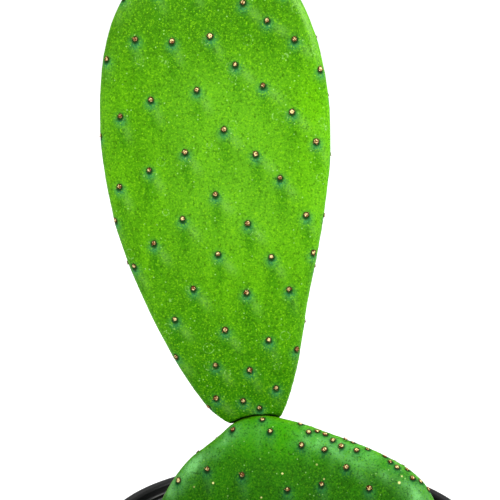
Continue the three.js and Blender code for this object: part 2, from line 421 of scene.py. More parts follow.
def skin(name, tones, dust):
    """Waxy cactus skin: mottled greens, fine pale stomata, scuffs and a bluish bloom; painted shade in the
    hollows, under the areoles, where the pads meet and towards the foot; painted light and highlights on the
    right side, the rim, the shoulders, the swellings and the top of the lower pad.
    """
    g = Graph(name)
    main, dark, light, deep = tones["main"], tones["dark"], tones["light"], tones["deep"]
    hollow, bloom, trail_shade = g.attribute("hollow"), g.attribute("bloom"), g.attribute("trail_shade")
    gleam, rim, crease_shade = g.attribute("gleam"), g.attribute("rim"), g.attribute("crease_shade")
    shoulder = g.attribute("shoulder")
    up, across = g.attribute("up"), g.attribute("across")
    broad = g.noise(34.0, 3.0, 0.5, at=g.stretched((1.0, 1.0, 0.4)))
    streak = g.noise(110.0, 3.0, 0.55, at=g.stretched((1.0, 1.0, 0.2), turn=(0.0, 0.12, 0.0)))
    patch = g.noise(70.0, 2.0, 0.5)
    grain = g.noise(520.0, 4.0, 0.8)
    fine = g.noise(1150.0, 2.0, 0.8)
    middle = (1.0 - across.absolute().between(0.15, 0.75)) * up.between(0.3, 0.5)
    middle = middle * (1.0 - up.between(0.72, 0.85))

    colour = g.mix(broad.between(0.32, 0.68), dark, main)
    colour = g.mix(streak.between(0.45, 0.68) * 0.55, colour, light)
    colour = g.mix((1.0 - streak.between(0.32, 0.49)) * 0.6, colour, dark)
    colour = g.mix(middle * (0.35 + 0.5 * patch), colour, tones["centre"])
    # Painted light: the right side lighter and yellower, towards the lamp on the right.
    colour = g.mix(across.between(0.35, 1.0) * tones["right"], colour, tones["lit_right_side"])
    # Painted shade: darker towards the foot of the pad.
    colour = g.mix((1.0 - up.between(0.0, 0.42)) * tones["foot"], colour, deep)
    # Painted light at the top of the lower pad, lighter where it faces up to the lamps; on the upper pad this
    # makes the top darker.
    colour = g.mix(up.between(0.68, 0.86) * tones["crown"], colour, tones["top"])
    # Painted light: lighter and yellower towards the rim, as light glows through the pad's edge.
    colour = g.mix(rim.between(0.25, 0.85) * 0.8, colour, tones["edge"])
    # Painted highlight: a pale sheen inside the rim, where the face turns over into the edge.
    sheen_band = shoulder * (1.0 - rim.between(0.35, 0.75)) * up.between(0.1, 0.6)
    sheen_band = sheen_band * (1.0 - up.between(0.84, 0.96) * 0.75)
    soft = patch.between(0.34, 0.62) * (0.35 + 0.65 * streak.between(0.35, 0.65))
    colour = g.mix(sheen_band * soft * tones["shoulder"], colour, tones["pale"])
    # Painted highlight: a pale line along the rim at the upper right.
    sheen_stripe = rim.between(0.1, 0.3) * (1.0 - rim.between(0.45, 0.75))
    sheen_stripe = sheen_stripe * up.between(0.7, 0.85) * across.between(0.2, 0.5)
    colour = g.mix(sheen_stripe * tones["sheen_stripe"], colour, tones["pale"])
    colour = g.mix(gleam * (0.2 + grain) * tones["gleam"], colour, tones["pale"])
    # Painted shade: a dark streak in the valley under each areole, stronger lower down the pad.
    colour = g.mix(trail_shade * (0.85 - 0.4 * up), colour, deep)
    colour = g.mix((bloom * (0.7 + 0.8 * grain)).clamped(), colour, tones["haze"])

    night = [c * 0.4 for c in dark]
    fleck = tones["fleck"]
    bright = [(1.0 - fleck) * c + fleck * s for c, s in zip(light, (0.36, 0.78, 0.012))]
    scuff = [0.45 * c + 0.55 * s for c, s in zip(light, (0.42, 0.72, 0.22))]
    colour = g.mix(grain.between(0.53, 0.64) * 0.5, colour, night)
    colour = g.mix((1.0 - grain.between(0.36, 0.47)) * 0.4, colour, light)
    colour = g.mix(fine.between(0.55, 0.64) * 0.5, colour, bright)
    colour = g.mix((1.0 - fine.between(0.36, 0.45)) * 0.6, colour, night)
    colour = g.mix(speckles(g, 760.0, 0.2, 0.3) * 0.8, colour, bright)
    colour = g.mix(speckles(g, 560.0, 0.16, 0.24) * 0.85, colour, scuff)
    marks = ring_marks(g, 62.0, 0.4, 0.15, 0.02, (0.0, 0.0, 0.0))
    marks = marks + ring_marks(g, 105.0, 0.3, 0.2, 0.034, (0.31, 0.17, 0.05))
    colour = g.mix(marks.clamped() * tones["marks"], colour, scuff)
    # Painted shade: a dark ring in the hollow round each areole, most of it below.
    colour = g.mix(hollow.between(0.2, 0.7) * 0.95, colour, tones["shade"])
    if dust:
        specks = speckles(g, 190.0, dust, 0.15) + speckles(g, 330.0, dust, 0.22)
        colour = g.mix(specks.clamped() * (1.0 - up.between(0.6, 0.85)), colour, (0.95, 0.90, 0.32))
    # Painted shade: near black where the two pads meet.
    colour = g.mix(crease_shade.between(0.15, 0.9) * 0.93, colour, (0.004, 0.03, 0.002))

    rough = 0.40 + 0.2 * grain
    normal = g.bump(grain, 0.00014, 0.5)
    normal = g.bump(fine, 0.00007, 0.4, under=normal)
    return g.finish(colour, rough, normal, Specular_IOR_Level=0.03)


def tinted(green, red, middle, blue):
    """A tone that keeps its ratio to the pad's main green."""
    return (green[0] * red, green[1] * middle, green[2] * blue)


def upper_tones(green):
    # The pale tone is painted sheen and highlight; the shade and deep tones are painted shade.
    return {
        "main": tuple(green), "dark": tinted(green, 0.62, 0.72, 0.6), "light": tinted(green, 1.3, 1.22, 1.3),
        "lit_right_side": tinted(green, 1.45, 1.42, 0.3), "edge": tinted(green, 1.35, 1.3, 0.5),
        "deep": tinted(green, 0.24, 0.52, 0.2), "top": tinted(green, 0.48, 0.58, 0.8),
        "centre": tinted(green, 1.3, 1.16, 6.0), "pale": tinted(green, 2.1, 1.34, 36.0),
        "haze": tinted(green, 0.36, 0.66, 36.0), "shade": tinted(green, 0.05, 0.10, 1.6),
        "foot": 0.95, "crown": 0.85, "right": 0.8, "gleam": 0.62, "shoulder": 0.1, "sheen_stripe": 0.8,
        "fleck": 0.4, "marks": 0.65,
    }


def lower_tones(green):
    # The pale tone is painted sheen and highlight; the shade and deep tones are painted shade.
    return {
        "main": tuple(green), "dark": tinted(green, 0.62, 0.7, 0.6), "light": tinted(green, 1.4, 1.5, 1.0),
        "lit_right_side": tinted(green, 1.2, 1.1, 1.0), "edge": tinted(green, 4.0, 2.3, 0.6),
        "deep": tinted(green, 0.55, 0.65, 0.5), "top": tinted(green, 1.8, 1.95, 0.4),
        "centre": tinted(green, 1.0, 1.0, 1.0), "pale": tinted(green, 8.6, 3.8, 60.0),
        "haze": tinted(green, 1.0, 1.1, 14.0), "shade": tinted(green, 0.14, 0.2, 2.0),
        "foot": 0.4, "crown": 0.8, "right": 0.3, "gleam": 0.35, "shoulder": 1.0, "sheen_stripe": 0.0,
        "fleck": 0.2, "marks": 0.06,
    }


def felt_material():
    """Areole felt: cream and tan tufts in a dark rusty edge."""
    g = Graph("areole_felt")
    out = g.attribute("outward")
    tufts = g.noise(1500.0, 2.0, 0.7)
    tone = g.noise(160.0, 1.0, 0.5)
    colour = g.mix((tufts + tone * 0.3).between(0.58, 0.70), (0.98, 0.84, 0.36), (0.17, 0.055, 0.012))
    colour = g.mix((1.0 - out.between(0.1, 0.35)) * tone.between(0.42, 0.55), colour, (0.20, 0.06, 0.015))
    colour = g.mix((out + 0.5 * (tufts - 0.5)).between(0.5, 0.74), colour, (0.04, 0.010, 0.003))
    return g.finish(colour, 0.9, g.bump(tufts, 0.0003, 0.8), Specular_IOR_Level=0.05)


def bristle_material():
    """Fine barbed bristles, rusty brown with paler tips."""
    g = Graph("bristle_rust")
    tips = g.attribute("tip")
    colour = g.mix(tips.between(0.1, 0.9), (0.23, 0.045, 0.012), (0.62, 0.30, 0.10))
    return g.finish(colour, 0.5, None, Specular_IOR_Level=0.4)


def pot_material(pot):
    """Black moulded polypropylene: a satin sheen, faint scuffs, and painted highlights on the crests of the
    inner rings.
    """
    g = Graph("pot_black_plastic")
    top, rim = POT_BOX[1][2], POT_BOX[1][0]
    scuff = g.noise(60.0, 5.0, 0.6, at=g.stretched((1.0, 1.0, 0.2)))
    mould = g.noise(900.0, 2.0, 0.6)
    dusty = g.noise(22.0, 4.0, 0.6)
    radius = (g.axis("X") ** 2.0 + g.axis("Y") ** 2.0) ** 0.5
    inside = (g.axis("Z") - top) * math.tan(pot.taper) + (rim - pot.wall - pot.lip)
    # Painted highlight: pale grey on the crests of the inner rings, broken up by the scuff pattern.
    crest = (inside - radius).between(0.0003, 0.00065) * radius.between(rim * 0.7, rim * 0.8)
    crest_highlight = crest * scuff.between(0.3, 0.55)
    colour = g.mix(dusty.between(0.5, 0.8) * 0.4, (0.0025, 0.003, 0.003), (0.012, 0.012, 0.011))
    colour = g.mix(scuff.between(0.62, 0.72) * 0.3, colour, (0.03, 0.03, 0.031))
    colour = g.mix(crest_highlight * 0.8, colour, (0.16, 0.165, 0.155))
    rough = 0.22 + 0.16 * scuff + 0.06 * dusty
    return g.finish(colour, rough, g.bump(mould, 0.00004, 0.4), Specular_IOR_Level=0.2)


def mix_material():
    """Potting mix: crumbs of dark peat and bark."""
    g = Graph("potting_mix")
    crumbs = g.noise(240.0, 6.0, 0.7)
    lumps = g.cells(330.0)
    colour = g.mix(crumbs.between(0.35, 0.7), (0.012, 0.007, 0.004), (0.062, 0.034, 0.017))
    colour = g.mix(lumps.between(0.1, 0.6) * 0.4, colour, (0.03, 0.018, 0.010))
    colour = g.mix(speckles(g, 300.0, 0.06, 0.2) * 0.8, colour, (0.55, 0.5, 0.4))
    normal = g.bump(crumbs + lumps * 0.4, 0.0016, 0.9)
    return g.finish(colour, 0.93, normal, Specular_IOR_Level=0.2)


def bark_material():
    """Loose chips of composted bark."""
    g = Graph("bark_chips")
    grain = g.noise(420.0, 4.0, 0.6, at=g.stretched((1.0, 0.3, 1.0)))
    tone = g.red_of(g.cells(130.0, "Color"))
    colour = g.mix(grain.between(0.3, 0.7), (0.035, 0.018, 0.009), (0.14, 0.075, 0.035))
    colour = g.mix(tone.between(0.3, 0.9) * 0.5, colour, (0.02, 0.011, 0.006))
    return g.finish(colour, 0.85, g.bump(grain, 0.0004, 0.8), Specular_IOR_Level=0.25)


def grit_material():
    """White perlite, a little soiled."""
    g = Graph("perlite_grit")
    stain = g.noise(300.0, 3.0, 0.6)
    colour = g.mix(stain.between(0.45, 0.75), (0.74, 0.71, 0.64), (0.34, 0.27, 0.19))
    return g.finish(colour, 0.9, g.bump(stain, 0.0004, 0.7), Specular_IOR_Level=0.2)


def root_material():
    """Tan root bark, finely wrinkled."""
    g = Graph("root_bark")
    wrinkle = g.noise(420.0, 4.0, 0.65, at=g.stretched((1.0, 1.0, 0.4)))
    colour = g.mix(wrinkle.between(0.3, 0.7), (0.22, 0.13, 0.06), (0.52, 0.38, 0.21))
    return g.finish(colour, 0.85, g.bump(wrinkle, 0.0004, 0.8), Specular_IOR_Level=0.2)


# ---------- Areole places ----------


def along(points, steps):
    """Points on a smooth curve through the given ones, `steps` to each stretch."""
    padded = [2 * points[0] - points[1], *points, 2 * points[-1] - points[-2]]
    made = []
    for i in range(1, len(padded) - 2):
        before, first, second, after = padded[i - 1 : i + 3]
        squared = 2 * before - 5 * first + 4 * second - after
        cubed = 3 * first - before - 3 * second + after
        for step in range(steps):
            t = step / steps
            made.append(0.5 * (2 * first + (second - before) * t + squared * t ** 2 + cubed * t ** 3))
    return made + [points[-1]]


def face_places(tree, plane, rows, front, rng):
    """Where the rows meet one face of a pad: (place, normal, way down the row) in world space."""
    inverse = plane.inverted()
    side = 1 if front else -1
    found = []
    for row in rows:
        points = [Vector((x, y)) for x, y in row]
        spots = points if front else along(points, 2)[1::2]
        for i, spot in enumerate(spots):
            onward = spots[min(i + 1, len(spots) - 1)] - spots[max(i - 1, 0)]
            shift = Vector((rng.uniform(-0.6, 0.6), rng.uniform(-0.6, 0.6)))
            x, y = (spot + shift) * MM
            start = plane @ Vector((side * x, y, side * 0.06))
            place, normal, _, _ = tree.ray_cast(start, plane.to_3x3() @ Vector((0, 0, -side)), 0.06)
            if place is None or abs((inverse.to_3x3() @ normal).z) < 0.3:
                continue
            down = plane.to_3x3() @ Vector((side * onward.x, onward.y, 0))
            if down.length < 1e-9 or down.z > -0.2 * down.length:
                down = plane.to_3x3() @ Vector((0.15, -1, 0))
            found.append((place, normal, down.normalized(), 1.0))
    return found


def rim_places(tree, plane, step, rng, crowded_from):
    """Spots along a pad's edge, closer together right of and above the given point of its plane."""
    crowded_x, crowded_y = crowded_from
    centre = plane @ Vector((-0.003, 0.4 * crowded_y * MM, 0))
    found = []
    last = None
    for i in range(1440):
        angle = 2 * math.pi * i / 1440 + 0.03
        way = plane.to_3x3() @ Vector((math.cos(angle), math.sin(angle), 0))
        start = centre + way * 0.25 + plane.to_3x3() @ Vector((0, 0, rng.uniform(-0.0042, 0.0042)))
        place, normal, _, _ = tree.ray_cast(start, -way, 0.25)
        if place is None:
            continue
        x, y, _ = (plane.inverted() @ place) / MM
        spacing = step * (CROWDED_SHARE if x > crowded_x and y > crowded_y else 1.0)
        if last is not None and (place - last).length < spacing * rng.uniform(0.85, 1.2):
            continue
        last = place
        down = plane.to_3x3() @ Vector((0, -1, 0))
        down -= normal * down.dot(normal)
        found.append((place, normal, down.normalized() if down.length > 0.05 else way.cross(normal), 0.85))
    return found


def free_of(places, keep):
    """Drops spots that the test refuses, and any that crowd an earlier one."""
    kept = []
    for spot in places:
        if keep(spot[0]) and all((spot[0] - other[0]).length > AREOLE_SPACING for other in kept):
            kept.append(spot)
    return kept


# ---------- Pads ----------


def smooth_pad(node, name, grain):
    """A pad's own smooth skin, from the CAD node's shape."""
    pad = copy_of_node(node, name)
    modifier(pad, "SUBSURF", levels=2, render_levels=2)
    modifier(pad, "REMESH", mode="VOXEL", voxel_size=grain, use_smooth_shade=True)
    modifier(pad, "SMOOTH", factor=0.5, iterations=9)
    apply_all(pad)
    return pad


def areole_layers(spots, normals, places, plane):
    """How strongly each vertex belongs to the swelling and the hollow of an areole, and to its colour marks:
    painted shade round it and in the valley below, a bluish bloom, and a painted highlight on the swelling.
    """
    names = ("swell", "sunk", "hollow", "bloom", "trail_shade", "gleam")
    layers = {name: np.zeros(len(spots)) for name in names}
    upward, outward = (np.array(plane.to_3x3() @ Vector(way)) for way in ((0, 1, 0), (0, 0, 1)))
    grid = KDTree(len(spots))
    for i, spot in enumerate(spots):
        grid.insert(spot, i)
    grid.balance()
    for at, normal, way, size in places:
        place, out, down = (np.array(tuple(vector)) for vector in (at, normal, way))
        near = np.array([index for _, index, _ in grid.find_range(place, 0.030)])
        gap = (spots[near] - place) / MM
        facing = np.clip(normals[near] @ out, 0, 1) ** 2
        lower = gap @ down
        across = np.linalg.norm(gap - np.outer(lower, down) - np.outer(gap @ out, out), axis=1)
        reach = np.where(lower < 0, 2.8, 11.0 * size)
        hump = np.exp(-((lower / reach) ** 2) - (across / (3.4 + 0.12 * np.clip(lower, 0, 20))) ** 2) * facing
        dip = np.exp(-(lower ** 2 + across ** 2) / (1.7 * size) ** 2) * facing
        under = -(gap @ upward)
        beside = np.linalg.norm(gap + np.outer(under, upward) - np.outer(gap @ out, out), axis=1)
        raised = size * (0.15 + 0.85 * abs(out @ outward))
        found = {
            "swell": hump * raised,
            "sunk": dip * raised,
            # painted shade round the areole, most of it just below
            "hollow": np.exp(-(((under - 0.55) / 1.95) ** 2) - (beside / 1.8) ** 2) * facing,
            "bloom": np.exp(-(((under - 1.8) / 2.3) ** 2) - (beside / 2.3) ** 2) * facing,
            # painted shade in the valley under the areole
            "trail_shade": np.exp(-(((under - 8.5) / 7.5) ** 2) - (beside / 2.4) ** 2) * facing,
            "gleam": np.exp(-(((lower - 7.0) / 4.2) ** 2) - (across / 2.0) ** 2) * facing,
        }
        for name, values in found.items():
            layers[name][near] = np.maximum(layers[name][near], values)
    return layers


def slow_waves(spots, seed):
    """A gentle unevenness: long sine waves that run in random directions."""
    rng = np.random.default_rng(seed)
    waves = np.zeros(len(spots))
    for _ in range(WAVE_COUNT):
        way = rng.normal(size=3)
        way *= rng.uniform(60, 190) / np.linalg.norm(way)
        waves += np.sin(spots @ way + rng.uniform(0, 6.28)) / WAVE_COUNT ** 0.5
    return waves


def note_places(mesh, spots, face, plane, neighbour):
    """Keeps, for the skin's colours, where each vertex lies on its pad, and how near the other pad is for the
    painted shade where the pads meet.
    """
    set_attribute(mesh, "rim", 1.0 - np.clip(face, 0, 1))
    edge = KDTree(len(spots))
    for i in np.flatnonzero(face < 0.35):
        edge.insert(spots[i], int(i))
    edge.balance()
    inset = np.array([edge.find(spot)[2] for spot in spots]) / MM
    # where the painted sheen of the shoulder goes, a little inside the rim
    set_attribute(mesh, "shoulder", np.exp(-(((inset - 4.6) / 4.0) ** 2)))
    to_plane = np.array(plane.inverted())
    flat = spots @ to_plane[:3, :3].T + to_plane[:3, 3]
    set_attribute(mesh, "up", flat[:, 1] / flat[:, 1].max())
    set_attribute(mesh, "across", flat[:, 0] / np.abs(flat[:, 0]).max())
    other = tree_of(neighbour)
    gaps = np.array([other.find_nearest(Vector(spot), 0.02)[3] or 0.02 for spot in spots])
    set_attribute(mesh, "crease_shade", np.exp(-((gaps / MM / 0.9) ** 2)))


def relief(pad, plane, places, look, seed, neighbour):
    """Raises a swelling under each areole, sinks its hollow, adds slow waves, and keeps the colour layers."""
    mesh = pad.data
    spots, normals = vertices_of(mesh)
    layers = areole_layers(spots, normals, places, plane)
    face = np.abs(normals @ np.array(plane.to_3x3() @ Vector((0, 0, 1))))
    lift = look.swelling * layers["swell"] - look.hollow * layers["sunk"]
    lift = lift + look.waviness * 0.5 * slow_waves(spots, seed) * face
    set_places(mesh, spots + normals * lift[:, None])
    for name in ("hollow", "bloom", "trail_shade", "gleam"):
        set_attribute(mesh, name, layers[name])
    note_places(mesh, spots, face, plane, neighbour)


def tree_of(obj):
    """A search tree of an object's faces; the object sits at the origin."""
    mesh = obj.data
    return BVHTree.FromPolygons([v.co for v in mesh.vertices], [tuple(f.vertices) for f in mesh.polygons])


def pad_places(pad, plane, rows, step, crowded_from, keep, seed):
    """All of a pad's areoles: front face, back face and rim."""
    rng = random.Random(seed)
    tree = tree_of(pad)
    places = face_places(tree, plane, rows, True, rng)
    places += face_places(tree, plane, rows, False, rng)
    places += rim_places(tree, plane, step, rng, crowded_from)
    return free_of(places, keep)


def add_materials(obj, materials):
    for material in materials:
        obj.data.materials.append(material)


def areole_bristle(name, look, rng, materials):
    """One fine cone that leans outward from the cushion, with how far along it each vertex is."""
    turn = rng.uniform(0, 2 * math.pi)
    out = look.cushion * rng.uniform(0.15, 0.8)
    length = look.bristle * rng.uniform(0.65, 1.2)
    way = Vector((0.75 * math.cos(turn), 0.75 * math.sin(turn) + 0.35, 1.0)).normalized()
    root = Vector((out * math.cos(turn), out * math.sin(turn), look.cushion * 0.25))
    bpy.ops.mesh.primitive_cone_add(
        vertices=3, radius1=BRISTLE_RADIUS, radius2=0.0, depth=length, location=root + way * length * 0.5,
        rotation=way.to_track_quat("Z", "Y").to_euler(), end_fill_type="NOTHING",
    )
    bristle = named(name)
    bpy.ops.object.transform_apply(location=True, rotation=True, scale=True)
    spots, _ = vertices_of(bristle.data)
    set_attribute(bristle.data, "outward", np.ones(len(spots)))
    set_attribute(bristle.data, "tip", ((spots - np.array(root)) @ np.array(way)) / length)
    add_materials(bristle, materials)
    for face in bristle.data.polygons:
        face.material_index = 1
    return bristle


def areole_master(name, look, rng, materials):
    """One areole at the origin, facing +Z: a felt cushion and a tuft of bristles on its upper side."""
    to_object_mode()
    bpy.ops.object.select_all(action="DESELECT")
    bpy.ops.mesh.primitive_uv_sphere_add(segments=8, ring_count=5, radius=look.cushion)
    cushion = named(name)
    bpy.ops.transform.resize(value=(1.0, 1.0, 0.52))
    bpy.ops.object.transform_apply(location=True, rotation=True, scale=True)
    places, _ = vertices_of(cushion.data)
    set_attribute(cushion.data, "outward", np.linalg.norm(places[:, :2], axis=1) / look.cushion)
    set_attribute(cushion.data, "tip", np.zeros(len(places)))
    add_materials(cushion, materials)
    bristles = [areole_bristle(f"{name}_bristle_{i}", look, rng, materials) for i in range(look.bristles)]
    only(cushion)
    for bristle in bristles:
        bristle.select_set(True)
    bpy.ops.object.join()
    return cushion


def scatter(masters, name, places, seed, sink):
    """Copies the masters to the places, each turned to its surface, and joins the copies."""
    rng = random.Random(seed)
    copies = []
    for place, normal, down, size in places:
        master = rng.choice(masters)
        copy = bpy.data.objects.new(name, master.data.copy())
        bpy.context.collection.objects.link(copy)
        up = (-down - normal * normal.dot(-down)).normalized()
        across = up.cross(normal)
        turn = Matrix((across, up, normal)).transposed() @ Matrix.Rotation(rng.uniform(-0.5, 0.5), 3, "Z")
        scale = size * rng.uniform(0.88, 1.15)
        copy.matrix_world = Matrix.Translation(place - normal * sink) @ turn.to_4x4() @ Matrix.Scale(scale, 4)
        copies.append(copy)
    to_object_mode()
    bpy.ops.object.select_all(action="DESELECT")
    for copy in copies:
        copy.select_set(True)
    bpy.context.view_layer.objects.active = copies[0]
    bpy.ops.object.join()
    joined = named(name)
    bpy.ops.object.transform_apply(location=True, rotation=True, scale=True)
    return joined


def discard(objects):
    for obj in objects:
        mesh = obj.data
        bpy.data.objects.remove(obj)
        bpy.data.meshes.remove(mesh)


def dress_with_areoles(pad, name, places, look, seed):
    """Sets an areole on the skin at each place."""
    rng = random.Random(look.seed + seed)
    materials = [
        bpy.data.materials.get("areole_felt") or felt_material(),
        bpy.data.materials.get("bristle_rust") or bristle_material(),
    ]
    masters = [areole_master(f"areole_master_{i}", look, rng, materials) for i in range(4)]
    seated = settle(pad, places)
    areoles = scatter(masters, name, seated, look.seed + seed, look.cushion * 0.12)
    discard(masters)
    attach(areoles, "root")


def settle(pad, places):
    """Puts each place back onto the skin after its hollow was sunk."""
    tree = tree_of(pad)
    seated = []
    for place, normal, down, size in places:
        spot, _, _, _ = tree.find_nearest(place)
        seated.append((spot, normal, down, size))
    return seated


class MESH_OT_cactus_lower_pad(bpy.types.Operator):
    """Models the lower pad's skin with its areoles"""

    bl_idname = "mesh.cactus_lower_pad"
    bl_label = "Lower pad"

    def execute(self, context):
        look = context.scene.cactus_pads
        areoles = context.scene.cactus_areoles
        pad = smooth_pad("lower_pad", "lower_pad_skin", look.grain)
        neighbour = tree_of(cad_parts["upper_pad"])

        def keep(place):
            bare = place.z > (SOIL_LINE + 4) * MM
            return bare and neighbour.find_nearest(place)[3] > CREASE_CLEARANCE

        places = pad_places(pad, LOWER_PLANE, LOWER_ROWS, areoles.lower_step, (2, 36), keep, 3)
        relief(pad, LOWER_PLANE, places, look, 5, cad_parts["upper_pad"])
        pad.data.materials.append(skin("lower_pad_skin", lower_tones(look.lower_green), 0.09))
        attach(pad, "root")
        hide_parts("lower_pad")
        dress_with_areoles(pad, "lower_pad_areoles", places, areoles, 1)
        return {"FINISHED"}


class MESH_OT_cactus_upper_pad(bpy.types.Operator):
    """Models the upper pad's skin with its areoles"""

    bl_idname = "mesh.cactus_upper_pad"
    bl_label = "Upper pad"

    def execute(self, context):
        look = context.scene.cactus_pads
        areoles = context.scene.cactus_areoles
        pad = smooth_pad("upper_pad", "upper_pad_skin", look.grain)
        neighbour = tree_of(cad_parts["lower_pad"])

        def keep(place):
            return neighbour.find_nearest(place)[3] > CREASE_CLEARANCE

        places = pad_places(pad, UPPER_PLANE, UPPER_ROWS, areoles.upper_step, (-60, 192), keep, 9)
        relief(pad, UPPER_PLANE, places, look, 6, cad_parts["lower_pad"])
        pad.data.materials.append(skin("upper_pad_skin", upper_tones(look.upper_green), 0.0))
        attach(pad, "root")
        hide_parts("upper_pad")
        dress_with_areoles(pad, "upper_pad_areoles", places, areoles, 2)
        return {"FINISHED"}


# ---------- Pot ----------


def pot_profile(pot):
    """The pot's rings from under the floor, up the outside, over the lip and down the inside."""
    low, high = POT_BOX
    top, rim = high[2], high[0]
    wall, lip = pot.wall, pot.lip
    mouth = rim - wall - lip
    slope = math.tan(pot.taper)

    def outside(z):
        return mouth + wall - (top - z) * slope

    def inside(z):
        return outside(z) - wall

    roll = wall * 1.15
    rings = [
        (outside(0) - 0.011, 0.004), (outside(0) - 0.0093, 0.0004), (outside(0) - 0.0086, 0.0),
        (outside(0) - 0.0009, 0.0), (outside(0.0004) - 0.0002, 0.0004), (outside(0.0014), 0.0014),
        (outside(0.012), 0.012), (outside(0.0128) - 0.0004, 0.0128), (outside(0.0142) - 0.0004, 0.0142),
        (outside(0.015), 0.015), (outside(top * 0.4), top * 0.4), (outside(top * 0.7), top * 0.7),
        (outside(top - 0.0045), top - 0.0045), (outside(top - 0.0026) + 0.0004, top - 0.0026),
        (rim - wall - 0.0006, top - 0.0016), (rim - wall, top - 0.0024),
        (rim - wall, top - pot.skirt + 0.0004), (rim - wall * 0.8, top - pot.skirt),
        (rim - wall * 0.25, top - pot.skirt),
        (rim, top - pot.skirt + 0.0004), (rim, top - 0.006),
    ]
    for i in range(7):
        angle = math.pi / 2 * i / 6
        rings.append((rim - roll * (1 - math.cos(angle)), top - roll * (1 - math.sin(angle))))
    rings.append(((rim + mouth) / 2, top - 0.00005))
    for i in range(7):
        angle = math.pi / 2 * i / 6
        rings.append((mouth + roll * (1 - math.sin(angle)), top - roll * (1 - math.cos(angle))))
    for i in range(pot.ribs):
        z = top - 0.0040 - i * pot.rib_pitch
        rings += [
            (inside(z + 0.0006), z + 0.0006), (inside(z) - 0.0005, z + 0.0003), (inside(z) - 0.0007, z),
            (inside(z) - 0.0005, z - 0.0003), (inside(z - 0.0006), z - 0.0006),
        ]
    rings += [(inside(top * 0.6), top * 0.6), (inside(0.007), 0.007), (inside(0.0055) - 0.0012, 0.0055)]
    return rings


def turned(name, rings, steps):
    """A closed round shape: a circle extruded from ring to ring, with its two ends filled."""
    to_object_mode()
    bpy.ops.object.select_all(action="DESELECT")
    radius, height = rings[0]
    bpy.ops.mesh.primitive_circle_add(vertices=steps, radius=radius, location=(0, 0, height))
    obj = named(name)
    bpy.ops.object.transform_apply(location=True, rotation=True, scale=True)
    bpy.ops.object.mode_set(mode="EDIT")
    bpy.ops.mesh.select_all(action="SELECT")
    bpy.ops.mesh.edge_face_add()
    bpy.ops.mesh.select_mode(type="EDGE")
    bpy.ops.mesh.duplicate()
    bpy.ops.mesh.delete(type="ONLY_FACE")
    bpy.ops.object.mode_set(mode="OBJECT")
    half = len(obj.data.vertices) // 2
    for i, vertex in enumerate(obj.data.vertices):
        vertex.select = i >= half
    for edge in obj.data.edges:
        edge.select = all(v >= half for v in edge.vertices)
    for face in obj.data.polygons:
        face.select = False
    bpy.ops.object.mode_set(mode="EDIT")
    for (wide, z), (wider, higher) in zip(rings, rings[1:]):
        bpy.ops.mesh.extrude_region_move(TRANSFORM_OT_translate={"value": (0, 0, higher - z)})
        ratio = wider / wide
        bpy.ops.transform.resize(value=(ratio, ratio, 1), center_override=(0, 0, higher))
    bpy.ops.mesh.edge_face_add()
    bpy.ops.mesh.select_all(action="SELECT")
    bpy.ops.mesh.remove_doubles(threshold=1e-6)
    bpy.ops.mesh.normals_make_consistent(inside=False)
    bpy.ops.object.mode_set(mode="OBJECT")
    return obj


def drill_holes(pot, circle, count):
    """Cuts the drain holes: one in the middle of the floor and the others in a circle."""
    places = [(0.0, 0.0)]
    for i in range(count):
        angle = 2 * math.pi * i / count
        places.append((circle * math.cos(angle), circle * math.sin(angle)))
    drills = []
    for x, y in places:
        bpy.ops.object.select_all(action="DESELECT")
        bpy.ops.mesh.primitive_cylinder_add(
            vertices=32, radius=DRAIN_RADIUS, depth=0.022, location=(x, y, 0.0)
        )
        drills.append(named("drill"))
    only(drills[0])
    for drill in drills:
        drill.select_set(True)
    bpy.ops.object.join()
    modifier(pot, "BOOLEAN", operation="DIFFERENCE", object=drills[0], solver="EXACT")
    only(pot)
    bpy.ops.object.modifier_apply(modifier=pot.modifiers[0].name)
    discard([drills[0]])


class MESH_OT_cactus_pot(bpy.types.Operator):
    """Models the nursery pot with its rolled lip, inner rings and drain holes"""

    bl_idname = "mesh.cactus_pot"
    bl_label = "Nursery pot"

    def execute(self, context):
        settings = context.scene.cactus_pot
        rings = pot_profile(settings)
        pot = turned("pot_shell", rings, settings.steps)
        foot = rings[1][0]
        drill_holes(pot, foot - 0.0135, settings.holes)
        only(pot)
        bpy.ops.object.shade_smooth_by_angle(angle=math.radians(38))
        pot.data.materials.clear()
        pot.data.materials.append(pot_material(settings))
        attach(pot, "root")
        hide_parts("nursery_pot")
        return {"FINISHED"}


# ---------- Potting mix ----------


def chip(name, size, rng):
    """A small angular flake: a cube with its corners pulled out of place."""
    to_object_mode()
    bpy.ops.object.select_all(action="DESELECT")
    bpy.ops.mesh.primitive_cube_add(size=1.0)
    flake = named(name)
    places, _ = vertices_of(flake.data)
    jolt = np.array([[rng.uniform(-0.22, 0.22) for _ in range(3)] for _ in places])
    set_places(flake.data, (places + jolt) * np.array(size))
    return flake


def grain_of_perlite(name, size, rng):
    """A puffed grain: a small ball with its points pushed in and out."""
    to_object_mode()
    bpy.ops.object.select_all(action="DESELECT")
    bpy.ops.mesh.primitive_ico_sphere_add(subdivisions=1, radius=size)
    ball = named(name)
    places, _ = vertices_of(ball.data)
    push = np.array([rng.uniform(0.72, 1.15) for _ in places])
    set_places(ball.data, places * push[:, None])
    return ball


